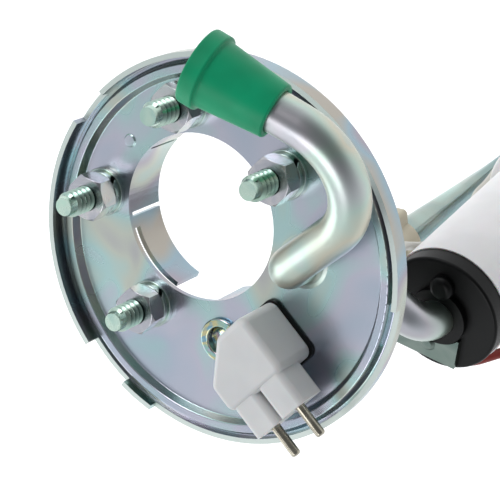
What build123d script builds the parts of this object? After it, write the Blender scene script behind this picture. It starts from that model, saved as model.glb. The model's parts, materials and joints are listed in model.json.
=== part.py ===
from build123d import *
import os
from math import atan2, cos, degrees, hypot, radians, sin, sqrt

# Fuel pump module for a tank with a bayonet neck. Millimetres, +Z points up out of the tank.
# The origin is the centre of the level-sender opening, on the upper face of the flange plate.

# Flange: one pressing, plate, bead, channel and lip about its own centre
SHEET = 1.6
OPENING_R = 26.0
FLANGE_X = -0.3
FLANGE_Y = -12.2
LIP_CUT_BACK = 1.4
LIP_STEPS = ((-52.0, 88.0, 4.2), (100.0, 173.0, 6.4), (189.0, 200.5, 4.6))
BEAD_CLEAR = 0.5
BEAD_WIDTH = 4.8
CHANNEL = 1.1
BEAD_SLOPE = 1.2
BEAD_RISE = 2.6
BEAD_ROUND = 0.5
COLLAR_DEPTH = 16.0
COLLAR_HALF_TURN = ((57.0, 88.0), (90.5, 141.0), (144.0, 200.0))
COLLAR_SLIT = 2.6
SLIT_MARGIN = 8.0
PIP_X = -3.0
PIP_BEYOND_OPENING = 6.0
PIP_R = 2.2
PIP = 0.6

# Sender studs and what is screwed on them
STUD_INSET = 9.0
STUD_ANGLES = (50.3, 129.7, -14.6, 194.6)
STUD_R = 4.0
STUD_TIP = 21.0
STUD_HEAD_R = 6.5
STUD_HEAD = 2.0
STUD_CHAMFER = 0.9
WASHER_R = 7.5
WASHER = 1.6
SPRING_WASHER_R = 6.9
SPRING_WASHER = 2.0
SPRING_GAP = 1.4
NUT_FLATS = 13.0
NUT = 6.5
NUT_CHAMFER = 0.9
HOLE_PLAY = 0.2

# Pump axis: the pump hangs under the rim and leans in towards the opening
PUMP_TOP = Vector(20.4, -65.3, -41.0)
PUMP_UP = Vector(-0.205, -0.12, 0.971).normalized()

# Outlet pipe: one bent tube from the pump, up through the plate and round to its open end
PIPE_R = 6.0
PIPE_WALL = 1.25
PIPE_X = 20.0
PIPE_Y = -31.0
PIPE_SOCKET = 14.0
PIPE_RISE_OVER_PUMP = 9.5
PIPE_LOW_BEND_Z = -13.0
PIPE_TOP_BEND_Z = 13.8
PIPE_ELBOW = Vector(78.0, -38.0, 28.0)
PIPE_END = Vector(58.0, 19.5, 37.0)
PIPE_BENDS = (11.0, 14.0, 13.0, 21.0)

# Transit cap on the pipe's open end
CAP_REACH = 22.6
CAP_END_WALL = 2.4
CAP_PLAY = 0.06
CAP_MOUTH_R = 7.9
CAP_BODY_R = 9.9
CAP_COLLAR_R = 11.0
CAP_COLLAR = 5.0

# Connector: nylon body on a gasket, two round pins that point out over the rim
CONNECTOR_X = -8.7
CONNECTOR_HALF_W = 12.5
CONNECTOR_BACK_Y = -33.0
CONNECTOR_SHOULDER_Y = -43.0
CONNECTOR_FRONT_Y = -53.0
CONNECTOR_TOP = 18.5
CONNECTOR_ROUND = 3.0
FINGER_LENGTH = 10.5
FINGER_HALF_W = 5.2
FINGER_BASE = 6.0
FINGER_TOP = 18.0
PIN_PITCH = 11.6
PIN_R = 1.5
PIN_ROOT_R = 1.8
PIN_Z = 13.0
PIN_TIP_Y = -74.0
PIN_TAIL_Y = -46.0
PIN_TAIL_Z = -6.0
GASKET = 1.2
GASKET_MARGIN = 0.6
PLUG_HALF_W = 9.5
PLUG_HALF_D = 3.5
PLUG_BELOW = 3.0

# Stay tube: rolled over in the plate, offset below it, then straight along the pump to a flat end
STAY_X = -21.0
STAY_Y = -32.0
STAY_R = 6.0
STAY_BORE_R = 4.4
STAY_RIM_R = 7.0
STAY_RIM = 1.5
STAY_DROP = 16.0
STAY_KNEE_Z = -30.0
STAY_BENDS = (14.0, 14.0)
STAY_PASSES = Vector(-1.0, -36.1, -80.0)
STAY_LEAN = Vector(0.2, 0.07, -1.0).normalized()
STAY_ROUND_TO = -88.0
STAY_TAPER = 62.0
STAY_PAST_RIVET = 11.0
STAY_FLAT_W = 16.0
STAY_FLAT_T = 5.0

# Nylon clip on the stay tube
CLIP_UP = 4.0
CLIP_LENGTH = 8.0
CLIP_WALL = 1.6
CLIP_HEAD = 6.0
CLIP_TURN = -45.0

# Bracket strip welded to the stay tube, its free end on the pump's end cap, in the pump's own frame
BRACKET_W = 10.6
BRACKET_T = 1.6
BRACKET_TIP_X = -5.6
BRACKET_TIP_Y = -13.0
BRACKET_GROMMET_GAP = 0.4
DIMPLE_FROM_TIP = 10.0
DIMPLE_R = 2.6
DIMPLE = 1.0

# Rubber end cap of the pump, in the pump's own frame (z = 0 on its outer face, down is minus)
RUBBER_INSET = 0.4
RUBBER = 6.0
RUBBER_SKIRT = 14.0
SKIRT_WALL = 1.4
GROMMET_R = 9.5
GROMMET = 2.2
BOOT_R = 4.0
BOOT = 3.0
BOOT_X = 9.0
BOOT_Y = 5.5

# Pump casing and what is in it
CASING_R = 16.5
CASING_WALL = 1.2
CASING_TOP = -12.0
CASING_END = -112.0
SHAFT_R = 2.0
BEARING_R = 4.0
BEARING = 5.0
BEARING_PLAY = 0.05
RUN_GAP = 0.3

# Outlet cover with the check valve
COVER_END = -26.0
COVER_BOSS_R = 8.6
COVER_BOSS_TOP = -7.0
VALVE_CHAMBER_R = 4.75
VALVE_SEAT_Z = -21.0
VALVE_PORT_R = 2.4
VALVE_HEAD_R = 3.6
VALVE_HEAD = 1.2
VALVE_STEM_R = 0.9
VALVE_GUIDE = 1.2
VALVE_GUIDE_TOP = -14.0
FEED_R = 1.4
FEED_OUT = 10.0

# Motor
COMMUTATOR_R = 6.5
COMMUTATOR = (-46.0, -36.5)
COMMUTATOR_BARS = 8
AIR_GAP = 0.6
CORE = (-86.0, -52.0)
CORE_SLOTS = 8
SLOT_W = 3.0
SLOT_FLOOR_R = 6.0
WINDING_SINK = 1.5
WINDING_OVERHANG = 4.5
MAGNET_T = 2.4
MAGNETS = (-90.0, -50.0)
MAGNET_ARC = 130.0
BRUSH_CARD = (-35.5, -32.5)
BRUSH_Z = -41.0
BRUSH_W = 3.6
BRUSH_H = 4.6
BRUSH_LENGTH = 4.6
BRUSH_BOX_WALL = 1.2
BRUSH_PLAY = 0.15
BRUSH_BOX_INSET = 0.7

# Pump stage
STAGE_PLATE = (-100.0, -94.0)
CHAMBER_WALL = 1.6
IMPELLER = 3.4
IMPELLER_VANES = 20
VANE_W = 1.6
VANE_DEPTH = 2.6
INLET_COVER = (-110.0, -104.0)
INLET_X = 7.0
INLET_R = 6.0
INLET_BORE_R = 3.4
INLET_END = -124.0
RELIEF_X = -8.0
RELIEF_R = 4.6
RELIEF_BORE_R = 2.6
RELIEF_BALL_R = 2.2
RELIEF_PORT_R = 1.4
RELIEF_END = -122.0
RELIEF_PLUG = 1.6

# Coil springs
WIRE_R = 0.35
CHECK_COIL_R = 2.4
RELIEF_COIL_R = 1.8
BRUSH_COIL_R = 1.3
COIL_TURNS = 4

# Carrier: white nylon sleeve round the pump, a neck and a larger barrel
NECK_WALL = 1.9
NECK_END = -25.0
ISOLATOR_WALL = 4.6
BARREL_WALL = 2.4
BARREL_END = -158.0
SHOULDER = 3.0
SHOULDER_ROUND = 1.2
ISOLATOR = (-108.0, -98.0)
RED_ANGLE = 262.0
PALE_ANGLE = 110.0
LEAD_PORT_Z = -118.0
LEAD_PORT_R = 3.6

# Strainer
STRAINER_RIM = 3.0
STRAINER_PLUG = 8.0
STRAINER_END = -186.0
STRAINER_RIBS = 6
STRAINER_RIB_W = 3.0
STRAINER_RIB_D = 3.0
STRAINER_CLOTH = 0.8
STRAINER_FLOOR = 3.0

# Lower clamp round the barrel, riveted to the stay tube's flat end
CLAMP_Z = -150.0
CLAMP_HALF_W = 6.0
CLAMP_T = 1.6
STRAP_PAST_TUBE = 8.0
STRAP_LAP = 12.0
RIVET_R = 2.4
RIVET_HEAD_R = 4.2
RIVET_HEAD = 1.6

# Leads: insulated wire from the connector tails to the pump
LEAD_R = 1.6
LEAD_BEND = 6.0
LEAD_TIGHT_BEND = 4.0
LEAD_WRAP_BEND = 14.0
LEAD_DROP = 12.0
RED_VIA = (Vector(-8.0, -50.0, -27.0), Vector(7.0, -44.0, -42.0))
RED_WRAP = ((130.0, -15.0), (165.0, -11.0), (200.0, -8.0), (230.0, -8.0))
RED_LEAVES_NECK_Z = -20.0
WRAP_PLAY = 1.3
PALE_OVER_CAP = 4.0
PALE_MEETS_BARREL_Z = -24.0
TAB_INSET = 2.1
TAB_T = 1.2
TAB_W = 5.0
TAB_END = -121.0


def ring(outer, inner, low, high):
    return Pos(0, 0, low) * extrude(Circle(outer) - Circle(inner), amount=high - low)


def rod(radius, low, high):
    return Pos(0, 0, low) * extrude(Circle(radius), amount=high - low)


def arc_wall(inner, outer, low, high, start, end):
    section = Plane.XZ * Pos((inner + outer) / 2, (low + high) / 2) * Rectangle(outer - inner, high - low)
    return Rot(0, 0, start) * revolve(section, Axis.Z, revolution_arc=end - start)


def around(radius, angle):
    return Pos(radius * cos(radians(angle)), radius * sin(radians(angle)))


def frame_along(origin, up):
    return Plane(origin=origin, x_dir=Vector(0, 1, 0).cross(up), z_dir=up)


def tube_along(points, bends, section):
    path = FilletPolyline(*points, radius=bends)
    return sweep(Plane(origin=path @ 0, z_dir=path % 0) * section, path=path)


def coil(radius, low, high):
    height = high - low - 2 * WIRE_R
    path = Pos(0, 0, low + WIRE_R) * Helix(height / COIL_TURNS, height, radius)
    return sweep(Plane(origin=path @ 0, z_dir=path % 0) * Circle(WIRE_R), path=path)


def stay_at(z):
    return STAY_PASSES + STAY_LEAN * ((z - STAY_PASSES.Z) / STAY_LEAN.Z)


PUMP = frame_along(PUMP_TOP, PUMP_UP)
STAY = frame_along(stay_at(STAY_ROUND_TO), STAY_LEAN * -1)
FLANGE_CENTRE = Pos(FLANGE_X, FLANGE_Y)

# Flange radii: the bead clears the washers, and the lip stands outside the bead
STUD_CIRCLE_R = OPENING_R + STUD_INSET
STUD_PLACES = [(STUD_CIRCLE_R * cos(radians(a)), STUD_CIRCLE_R * sin(radians(a))) for a in STUD_ANGLES]
FARTHEST_STUD = max(hypot(x - FLANGE_X, y - FLANGE_Y) for x, y in STUD_PLACES)
BEAD_IN_R = FARTHEST_STUD + WASHER_R + BEAD_CLEAR
LIP_R = BEAD_IN_R + BEAD_WIDTH + CHANNEL + SHEET

# Pump radii, from the casing outwards and inwards
CASING_BORE_R = CASING_R - CASING_WALL
NECK_BORE_R = CASING_R + SKIRT_WALL
NECK_R = NECK_BORE_R + NECK_WALL
RUBBER_R = NECK_R - RUBBER_INSET
BARREL_BORE_R = CASING_R + ISOLATOR_WALL
BARREL_R = BARREL_BORE_R + BARREL_WALL
MAGNET_IN_R = CASING_BORE_R - MAGNET_T
CORE_R = MAGNET_IN_R - AIR_GAP
WINDING_R = CORE_R - WINDING_SINK
BRUSH_BOX_OUT = CASING_BORE_R - BRUSH_BOX_INSET
IMPELLER_R = CASING_BORE_R - CHAMBER_WALL - RUN_GAP
TAB_R = CASING_BORE_R - TAB_INSET

PIPE_BORE_R = PIPE_R - PIPE_WALL
PIN_XS = (CONNECTOR_X - PIN_PITCH / 2, CONNECTOR_X + PIN_PITCH / 2)
FINGER_END_Y = CONNECTOR_FRONT_Y - FINGER_LENGTH
CAP_AXIS = (PIPE_END - PIPE_ELBOW).normalized()


def make_flange():
    bead_out = BEAD_IN_R + BEAD_WIDTH
    lip_in = LIP_R - SHEET
    under = SHEET * BEAD_RISE / (BEAD_SLOPE + hypot(BEAD_SLOPE, BEAD_RISE))
    crest_in = BEAD_IN_R + BEAD_SLOPE
    crest_out = bead_out - BEAD_SLOPE
    outline = [
        (0, 0), (BEAD_IN_R, 0), (crest_in, BEAD_RISE), (crest_out, BEAD_RISE), (bead_out, 0),
        (lip_in, 0), (lip_in, LIP_CUT_BACK), (LIP_R, LIP_CUT_BACK), (LIP_R, -SHEET),
        (bead_out - under, -SHEET), (crest_out - under, BEAD_RISE - SHEET),
        (crest_in + under, BEAD_RISE - SHEET), (BEAD_IN_R + under, -SHEET), (0, -SHEET),
    ]
    section = make_face(Plane.XZ * Polyline(*outline, close=True))
    on_top = [v for v in section.vertices() if abs(v.Z) < 0.1 or abs(v.Z - BEAD_RISE) < 0.1]
    bead_points = [v for v in on_top if BEAD_IN_R - 1 < v.X < bead_out + 0.5]
    section = fillet(bead_points, BEAD_ROUND)
    plate = revolve(section, Axis.Z)
    for start, end, height in LIP_STEPS:
        plate += arc_wall(lip_in, LIP_R, 0, height, start, end)
    plate = FLANGE_CENTRE * plate
    plate -= rod(OPENING_R, -SHEET, BEAD_RISE)
    collar_tabs = [(start + turn, end + turn) for turn in (0, 180) for start, end in COLLAR_HALF_TURN]
    for index, (start, end) in enumerate(collar_tabs):
        tab = arc_wall(OPENING_R, OPENING_R + SHEET, -COLLAR_DEPTH, -SHEET / 2, start, end)
        if index % 3 == 2:
            slit_low = -SHEET - COLLAR_SLIT
            slit_from = start + SLIT_MARGIN
            tab -= arc_wall(OPENING_R - 1, OPENING_R + SHEET + 1, slit_low, -SHEET, slit_from, end + 1)
        plate += tab
    for angle in STUD_ANGLES:
        plate -= around(STUD_CIRCLE_R, angle) * rod(STUD_R, -SHEET, 0)
    plate -= Pos(PIPE_X, PIPE_Y) * rod(PIPE_R, -SHEET, 0)
    plate -= Pos(STAY_X, STAY_Y) * rod(STAY_R, -SHEET, 0)
    pip = Cone(PIP_R, PIP_R - PIP, PIP, align=(Align.CENTER, Align.CENTER, Align.MIN))
    plate += Pos(PIP_X, OPENING_R + PIP_BEYOND_OPENING) * pip
    window = Rectangle(2 * PLUG_HALF_W, 2 * PLUG_HALF_D)
    plate -= Pos(CONNECTOR_X, PIN_TAIL_Y, -SHEET) * extrude(window, amount=SHEET)
    return plate


def on_studs(piece):
    return Compound(children=[around(STUD_CIRCLE_R, angle) * piece for angle in STUD_ANGLES])


def make_studs():
    shank = rod(STUD_R, -SHEET, STUD_TIP)
    shank = chamfer(shank.edges().sort_by(Axis.Z)[-1], STUD_CHAMFER)
    return on_studs(shank + rod(STUD_HEAD_R, -SHEET - STUD_HEAD, -SHEET))


def make_flat_washers():
    return on_studs(ring(WASHER_R, STUD_R + HOLE_PLAY, 0, WASHER))


def make_spring_washers():
    washer = ring(SPRING_WASHER_R, STUD_R + HOLE_PLAY, WASHER, WASHER + SPRING_WASHER)
    gap = Pos(SPRING_WASHER_R, 0, WASHER + SPRING_WASHER / 2) * Rot(35, 0, 0) * Box(
        2 * SPRING_WASHER_R, SPRING_GAP, 3 * SPRING_WASHER)
    return on_studs(washer - gap)


def make_nuts():
    base = WASHER + SPRING_WASHER
    corner_r = NUT_FLATS / sqrt(3)
    hexagon = extrude(RegularPolygon(corner_r, 6), amount=NUT)
    round_off = rod(corner_r, 0, NUT)
    end_edges = round_off.edges().filter_by(GeomType.CIRCLE)
    round_off = chamfer(end_edges, NUT_CHAMFER)
    nut = (hexagon & round_off) - rod(STUD_R, 0, NUT)
    return on_studs(Pos(0, 0, base) * nut)


def pipe_points():
    socket_end = PUMP_TOP - PUMP_UP * PIPE_SOCKET
    over_pump = PUMP_TOP + PUMP_UP * PIPE_RISE_OVER_PUMP
    under_plate = Vector(PIPE_X, PIPE_Y, PIPE_LOW_BEND_Z)
    over_plate = Vector(PIPE_X, PIPE_Y, PIPE_TOP_BEND_Z)
    return [socket_end, over_pump, under_plate, over_plate, PIPE_ELBOW, PIPE_END]


def make_outlet_pipe():
    return tube_along(pipe_points(), PIPE_BENDS, Circle(PIPE_R) - Circle(PIPE_BORE_R))


def make_transit_cap():
    # z = 0 at the mouth, the pipe's end at CAP_REACH
    end = CAP_REACH + CAP_END_WALL
    collar_from = end - CAP_COLLAR
    bore_r = PIPE_R + CAP_PLAY
    outline = [
        (0, end), (CAP_COLLAR_R, end), (CAP_COLLAR_R, collar_from), (CAP_BODY_R, collar_from),
        (CAP_MOUTH_R, 0), (bore_r, 0), (bore_r, CAP_REACH + RUN_GAP), (0, CAP_REACH + RUN_GAP),
    ]
    cap = revolve(make_face(Plane.XZ * Polyline(*outline, close=True)), Axis.Z)
    return frame_along(PIPE_END - CAP_AXIS * CAP_REACH, CAP_AXIS) * cap


def connector_outline(margin):
    left = CONNECTOR_X - CONNECTOR_HALF_W - margin
    right = CONNECTOR_X + CONNECTOR_HALF_W + margin
    back = CONNECTOR_BACK_Y + margin
    front = CONNECTOR_FRONT_Y - margin
    shoulder = CONNECTOR_SHOULDER_Y + margin
    points = [(right, front), (right, back), (CONNECTOR_X, back), (left, shoulder), (left, front)]
    face = make_face(Polyline(*points, close=True))
    return fillet(face.vertices(), CONNECTOR_ROUND)


def plug_box(low, high):
    section = Rectangle(2 * PLUG_HALF_W, 2 * PLUG_HALF_D)
    return Pos(CONNECTOR_X, PIN_TAIL_Y, low) * extrude(section, amount=high - low)


def make_connector_pins():
    pins = []
    for x in PIN_XS:
        free = rod(PIN_R, PIN_TAIL_Y - FINGER_END_Y, PIN_TAIL_Y - PIN_TIP_Y)
        free = fillet(free.edges().sort_by(Axis.Z)[-1], PIN_R * 0.6)
        along = rod(PIN_ROOT_R, 0, PIN_TAIL_Y - FINGER_END_Y) + free
        along = Pos(x, PIN_TAIL_Y, PIN_Z) * Rot(90, 0, 0) * along
        down = Pos(x, PIN_TAIL_Y) * rod(PIN_ROOT_R, PIN_TAIL_Z, PIN_Z)
        pins.append(along + down + Pos(x, PIN_TAIL_Y, PIN_Z) * Sphere(PIN_ROOT_R))
    return Compound(children=pins)


def make_connector_body(pins):
    body = Pos(0, 0, GASKET) * extrude(connector_outline(0), amount=CONNECTOR_TOP - GASKET)
    body = fillet(body.faces().sort_by(Axis.Z)[-1].edges(), CONNECTOR_ROUND * 0.7)
    for x in PIN_XS:
        finger = Rectangle(2 * FINGER_HALF_W, FINGER_TOP - FINGER_BASE)
        finger = fillet(finger.vertices(), CONNECTOR_ROUND * 0.7)
        finger = extrude(finger, amount=FINGER_LENGTH + 2 * CONNECTOR_ROUND, dir=(0, 0, 1))
        finger = Rot(90, 0, 0) * finger
        middle = (FINGER_TOP + FINGER_BASE) / 2
        body += Pos(x, CONNECTOR_FRONT_Y + 2 * CONNECTOR_ROUND, middle) * finger
    body += plug_box(-SHEET - PLUG_BELOW, GASKET)
    return body - pins


def make_connector_gasket():
    return extrude(connector_outline(GASKET_MARGIN), amount=GASKET) - plug_box(0, GASKET)


def stay_run(section):
    top = Vector(STAY_X, STAY_Y, 0)
    points = [top, top - Vector(0, 0, STAY_DROP), stay_at(STAY_KNEE_Z), stay_at(STAY_ROUND_TO)]
    return tube_along(points, STAY_BENDS, section)


def clamp_middle():
    # where the pump's axis passes the clamp, in the stay tube's frame
    return STAY.to_local_coords(PUMP.from_local_coords(Vector(0, 0, CLAMP_Z)))


def rivet_hole(low, high):
    return Pos(0, 0, clamp_middle().Z) * Rot(90, 0, 0) * rod(RIVET_R, low, high)


def make_stay_tube():
    rim = ring(STAY_RIM_R, STAY_BORE_R, 0, STAY_RIM)
    rim = fillet(rim.edges().group_by(Axis.Z)[-1], STAY_RIM * 0.4)
    flat = SlotOverall(STAY_FLAT_W, STAY_FLAT_T)
    taper = loft([Pos(0, 0, -STAY_TAPER) * flat, Circle(STAY_R)])
    end = clamp_middle().Z - STAY_PAST_RIVET
    blade = Pos(0, 0, end) * extrude(flat, amount=-STAY_TAPER - end)
    blade -= rivet_hole(-STAY_FLAT_T, STAY_FLAT_T)
    upper = Pos(STAY_X, STAY_Y) * rim + stay_run(Circle(STAY_R) - Circle(STAY_BORE_R))
    return upper + STAY * (taper + blade)


def make_wire_clip():
    band = ring(STAY_R + CLIP_WALL, STAY_R, 0, CLIP_LENGTH)
    head = Pos(0, STAY_R + CLIP_HEAD / 2, CLIP_LENGTH / 2) * Box(CLIP_HEAD, CLIP_HEAD, CLIP_LENGTH)
    head = fillet(head.edges().filter_by(Axis.Z), CLIP_WALL)
    clip = band + (head - rod(STAY_R, 0, CLIP_LENGTH))
    return STAY * Pos(0, 0, CLIP_UP) * Rot(0, 0, CLIP_TURN) * clip


def make_support_bracket():
    # drawn in the pump's frame, where the end cap's outer face is z = 0
    tube = PUMP.to_local_coords(stay_at(PUMP_TOP.Z))
    run = Vector(tube.X - BRACKET_TIP_X, tube.Y - BRACKET_TIP_Y, 0)
    strip = Pos(run.length / 2, 0, BRACKET_T / 2) * Box(run.length, BRACKET_W, BRACKET_T)
    dimple = Cone(DIMPLE_R, DIMPLE_R * 0.6, DIMPLE, align=(Align.CENTER, Align.CENTER, Align.MIN))
    strip += Pos(DIMPLE_FROM_TIP, 0, BRACKET_T) * dimple
    strip = Pos(BRACKET_TIP_X, BRACKET_TIP_Y) * Rot(0, 0, degrees(atan2(run.Y, run.X))) * strip
    strip -= rod(GROMMET_R + BRACKET_GROMMET_GAP, -BRACKET_T, 2 * BRACKET_T)
    return PUMP * strip - stay_run(Circle(STAY_R))


def make_rubber_cap():
    cap = rod(RUBBER_R, -RUBBER, 0)
    cap = fillet(cap.edges().sort_by(Axis.Z)[-1], 1.0)
    cap += ring(NECK_BORE_R, CASING_R, -RUBBER - RUBBER_SKIRT, -RUBBER)
    cap += rod(GROMMET_R, 0, GROMMET)
    boot = fillet(rod(BOOT_R, 0, BOOT).edges().sort_by(Axis.Z)[-1], BOOT_R * 0.5)
    cap += Pos(BOOT_X, BOOT_Y) * boot
    cap -= rod(PIPE_R, -RUBBER, GROMMET)
    return cap


def make_carrier():
    neck = ring(NECK_R, NECK_BORE_R, NECK_END, -RUBBER)
    shoulder = ring(BARREL_R, NECK_BORE_R, NECK_END - SHOULDER, NECK_END)
    outer_edges = shoulder.edges().filter_by(GeomType.CIRCLE).sort_by(SortBy.RADIUS)[-2:]
    shoulder = fillet(outer_edges.sort_by(Axis.Z)[-1], SHOULDER_ROUND)
    barrel = ring(BARREL_R, BARREL_BORE_R, BARREL_END, NECK_END - SHOULDER)
    carrier = neck + shoulder + barrel
    port = Rot(0, 90, 0) * rod(LEAD_PORT_R, BARREL_BORE_R - 2, BARREL_R + 2)
    port = Pos(0, 0, LEAD_PORT_Z + LEAD_R) * port
    for angle in (RED_ANGLE, PALE_ANGLE):
        carrier -= Rot(0, 0, angle) * port
    return carrier


def make_casing():
    return ring(CASING_R, CASING_BORE_R, CASING_END, CASING_TOP)


def make_outlet_cover():
    plug = rod(CASING_BORE_R, COVER_END, CASING_TOP)
    boss = rod(COVER_BOSS_R, CASING_TOP, COVER_BOSS_TOP)
    bearing_boss = ring(BEARING_R + 2.0, BEARING_R, COVER_END - BEARING, COVER_END)
    cover = plug + boss + bearing_boss
    cover -= rod(PIPE_R, -PIPE_SOCKET, COVER_BOSS_TOP)
    cover -= rod(VALVE_CHAMBER_R, VALVE_SEAT_Z, -PIPE_SOCKET)
    cross_z = (VALVE_SEAT_Z + COVER_END) / 2
    cover -= rod(VALVE_PORT_R, cross_z, VALVE_SEAT_Z)
    cover -= Pos(0, 0, cross_z) * Rot(0, 90, 0) * rod(FEED_R, -FEED_OUT, FEED_OUT)
    for x in (-FEED_OUT, FEED_OUT):
        cover -= Pos(x, 0) * rod(FEED_R, COVER_END, cross_z)
    return cover


def make_valve_guide():
    top = VALVE_GUIDE_TOP
    guide = ring(VALVE_CHAMBER_R, VALVE_STEM_R + RUN_GAP, top - VALVE_GUIDE, top)
    for angle in (0, 120, 240):
        guide -= around(VALVE_CHAMBER_R * 0.62, angle) * rod(1.1, top - VALVE_GUIDE, top)
    return guide


def make_check_valve():
    head_low = VALVE_SEAT_Z + 0.05
    head = rod(VALVE_HEAD_R, head_low, head_low + VALVE_HEAD)
    return head + rod(VALVE_STEM_R, head_low, VALVE_GUIDE_TOP - VALVE_GUIDE / 2)


def make_check_spring():
    return coil(CHECK_COIL_R, VALVE_SEAT_Z + VALVE_HEAD + 0.1, VALVE_GUIDE_TOP - VALVE_GUIDE - 0.05)


def make_bearing(low):
    return ring(BEARING_R, SHAFT_R + BEARING_PLAY, low, low + BEARING)


def make_shaft():
    bottom = STAGE_PLATE[0] - RUN_GAP - IMPELLER
    return rod(SHAFT_R, bottom, COVER_END - RUN_GAP)


def make_commutator():
    low, high = COMMUTATOR
    body = ring(COMMUTATOR_R, SHAFT_R, low, high)
    for index in range(COMMUTATOR_BARS):
        slot = Pos(COMMUTATOR_R, 0, (low + high) / 2) * Box(1.6, 0.6, high - low)
        body -= Rot(0, 0, 360 / COMMUTATOR_BARS * (index + 0.5)) * slot
    return body


def core_slots(width, depth_r, low, high):
    reach = CORE_R - depth_r
    slot = Pos(depth_r + reach / 2, 0, (low + high) / 2) * Box(reach, width, high - low)
    return [Rot(0, 0, 360 / CORE_SLOTS * index) * slot for index in range(CORE_SLOTS)]


def make_core():
    low, high = CORE
    core = ring(CORE_R, SHAFT_R, low, high)
    for slot in core_slots(SLOT_W, SLOT_FLOOR_R, low, high):
        core -= slot
    return core


def make_windings():
    low, high = CORE
    copper = ring(WINDING_R, SHAFT_R + 1, high, high + WINDING_OVERHANG)
    copper += ring(WINDING_R, SHAFT_R + 1, low - WINDING_OVERHANG, low)
    for bar in core_slots(SLOT_W, SLOT_FLOOR_R, low, high):
        copper += bar & rod(WINDING_R, low, high)
    return copper


def make_magnets():
    low, high = MAGNETS
    half = MAGNET_ARC / 2
    magnet = arc_wall(MAGNET_IN_R, CASING_BORE_R, low, high, -half, half)
    return Compound(children=[Rot(0, 0, side) * magnet for side in (90, 270)])


def brush_box_section(play):
    return Rectangle(BRUSH_H + 2 * play, BRUSH_W + 2 * play)


def radial(piece, angle):
    # a piece drawn along +Z is laid along a radius at the brushes' height
    return Rot(0, 0, angle) * Pos(0, 0, BRUSH_Z) * Rot(0, 90, 0) * piece


def make_brush_card():
    low, high = BRUSH_CARD
    card = ring(CASING_BORE_R, BEARING_R + 2.0 + RUN_GAP, low, high)
    inner_r = COMMUTATOR_R + 4 * RUN_GAP
    for angle in (0, 180):
        outside = brush_box_section(BRUSH_PLAY + BRUSH_BOX_WALL)
        hollow = brush_box_section(BRUSH_PLAY)
        back = BRUSH_BOX_OUT - BRUSH_BOX_WALL
        box = Pos(0, 0, inner_r) * extrude(outside - hollow, amount=back - inner_r)
        box += Pos(0, 0, back) * extrude(outside, amount=BRUSH_BOX_WALL)
        card += radial(box, angle)
        post_z = BRUSH_Z + BRUSH_H / 2 + BRUSH_PLAY + BRUSH_BOX_WALL
        post_r = (inner_r + BRUSH_BOX_OUT) / 2
        post = Pos(post_r, 0, (post_z + low) / 2) * Box(BRUSH_W, BRUSH_W, low - post_z)
        card += Rot(0, 0, angle) * post
    for x in (-FEED_OUT, FEED_OUT):
        card -= Rot(0, 0, 90) * Pos(x, 0) * rod(FEED_R, low, high)
    return card


def make_brush(angle):
    start = COMMUTATOR_R + RUN_GAP
    return radial(Pos(0, 0, start) * extrude(brush_box_section(0), amount=BRUSH_LENGTH), angle)


def make_brush_spring(angle):
    start = COMMUTATOR_R + RUN_GAP + BRUSH_LENGTH
    return radial(coil(BRUSH_COIL_R, start + 0.02, BRUSH_BOX_OUT - BRUSH_BOX_WALL - 0.02), angle)


def make_stage_plate():
    low, high = STAGE_PLATE
    plate = ring(CASING_BORE_R, BEARING_R, low, high)
    port = around(IMPELLER_R - VANE_DEPTH / 2, 120) * rod(FEED_R, low, high)
    return plate - port


def make_impeller():
    high = STAGE_PLATE[0] - RUN_GAP
    low = high - IMPELLER
    wheel = ring(IMPELLER_R, SHAFT_R, low, high)
    for index in range(IMPELLER_VANES):
        pocket = Pos(IMPELLER_R - VANE_DEPTH / 2, 0, (low + high) / 2) * Box(VANE_DEPTH, VANE_W, IMPELLER)
        wheel -= Rot(0, 0, 360 / IMPELLER_VANES * index) * pocket
    return wheel


def make_inlet_cover():
    low, high = INLET_COVER
    cover = rod(CASING_BORE_R, low, high)
    cover += ring(CASING_BORE_R, IMPELLER_R + RUN_GAP, high, STAGE_PLATE[0])
    cover += Pos(INLET_X, 0) * rod(INLET_R, INLET_END, low)
    cover += Pos(RELIEF_X, 0) * rod(RELIEF_R, RELIEF_END, low)
    cover -= Pos(INLET_X, 0) * rod(INLET_BORE_R, INLET_END, high)
    cover -= Pos(RELIEF_X, 0) * rod(RELIEF_BORE_R, RELIEF_END, low)
    cover -= Pos(RELIEF_X, 0) * rod(RELIEF_PORT_R, low, high)
    return cover


def relief_ball_z():
    low = INLET_COVER[0]
    return low - sqrt(RELIEF_BALL_R ** 2 - RELIEF_PORT_R ** 2) - 0.05


def make_relief_ball():
    return Pos(RELIEF_X, 0, relief_ball_z()) * Sphere(RELIEF_BALL_R)


def make_relief_spring():
    top = relief_ball_z() - RELIEF_BALL_R - 0.05
    return Pos(RELIEF_X, 0) * coil(RELIEF_COIL_R, RELIEF_END + RELIEF_PLUG + 0.05, top)


def make_relief_plug():
    return Pos(RELIEF_X, 0) * ring(RELIEF_BORE_R, 1.0, RELIEF_END, RELIEF_END + RELIEF_PLUG)


def make_isolator():
    low, high = ISOLATOR
    return ring(BARREL_BORE_R, CASING_R, low, high)


def make_strainer_frame():
    top = BARREL_END
    floor_top = STRAINER_END + STRAINER_FLOOR
    inside = BARREL_BORE_R - STRAINER_RIB_D
    frame = ring(BARREL_BORE_R, inside, STRAINER_END, top + STRAINER_PLUG)
    frame += ring(BARREL_R, inside, top - STRAINER_RIM, top)
    frame += rod(BARREL_BORE_R, STRAINER_END, floor_top)
    pitch = 360 / STRAINER_RIBS
    half_rib = degrees(STRAINER_RIB_W / 2 / BARREL_BORE_R)
    for index in range(STRAINER_RIBS):
        start = pitch * index + half_rib
        end = pitch * (index + 1) - half_rib
        frame -= arc_wall(inside - 1, BARREL_R, floor_top, top - STRAINER_RIM, start, end)
    return frame


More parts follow.
